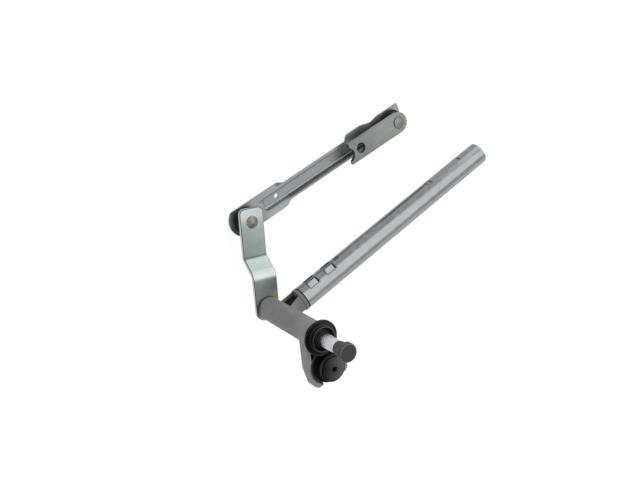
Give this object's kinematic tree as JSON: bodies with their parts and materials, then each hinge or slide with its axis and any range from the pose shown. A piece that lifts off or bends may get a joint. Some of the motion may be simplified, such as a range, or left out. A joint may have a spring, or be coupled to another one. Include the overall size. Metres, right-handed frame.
{
  "type": "wiper linkage",
  "caption": "Windscreen wiper linkage: cast spindle housing on a frame tube, with a cranked lever, a pressed link rod on ball joints and the motor crank.",
  "frame": {"origin": "on the spindle axis at the seat of the wiper arm, where the taper of the spindle starts", "axes": "+Z along the spindle towards its free end, +X along the frame tube away from the housing, +Y towards the side of the lever and the link"},
  "size_m": [0.2873, 0.1347, 0.1747],
  "materials": {
    "cast_alloy": "matte cast",
    "galvanised_tube": "galvanised",
    "zinc_plate": "zinc plated",
    "link_steel": "pressed sheet",
    "bright_steel": "bright turned",
    "stud_steel": "warm zinc",
    "spring_steel": "plain",
    "bush_bronze": "sintered",
    "black_rubber": "matte",
    "grey_rubber": "matte",
    "black_plastic": "matte"
  },
  "bodies": {
    "frame": {"pivot_housing": "cast_alloy", "frame_tube": "galvanised_tube", "front_bush": "bush_bronze", "rear_bush": "bush_bronze", "dust_cup": "black_rubber", "spindle_seal": "black_rubber", "rear_washer": "black_plastic", "mounting_grommet": "grey_rubber"},
    "spindle_arm": {"spindle": "bright_steel", "front_washer": "spring_steel", "spring_washer": "spring_steel", "retaining_clip": "spring_steel", "crank_lever": "zinc_plate", "lever_ball_stud": "stud_steel"},
    "cap": {"thread_cap": "grey_rubber"},
    "link": {"link_rod": "link_steel", "lever_ball_socket": "black_plastic", "lever_joint_boot": "black_rubber", "crank_ball_socket": "black_plastic", "crank_joint_boot": "black_rubber"},
    "crank": {"motor_crank": "zinc_plate", "crank_ball_stud": "stud_steel"}
  },
  "joints": [
    {"name": "spindle_turn", "type": "hinge", "parent": "frame", "child": "spindle_arm", "pos_m": [0, 0, 0], "axis": [0, 0, 1], "range_deg": [0, 85]},
    {"name": "cap_pull", "type": "slide", "parent": "spindle_arm", "child": "cap", "axis": [0, 0, 1], "range_m": [0, 0.03]},
    {"name": "link_swing", "type": "hinge", "parent": "spindle_arm", "child": "link", "pos_m": [0.03351, 0.07154, -0.13094], "axis": [0, 0, 1], "range_deg": [-95, 20]},
    {"name": "crank_turn", "type": "hinge", "parent": "link", "child": "crank", "pos_m": [0.2188, 0.06086, -0.13094], "axis": [0, 0, 1], "continuous": true}
  ]
}
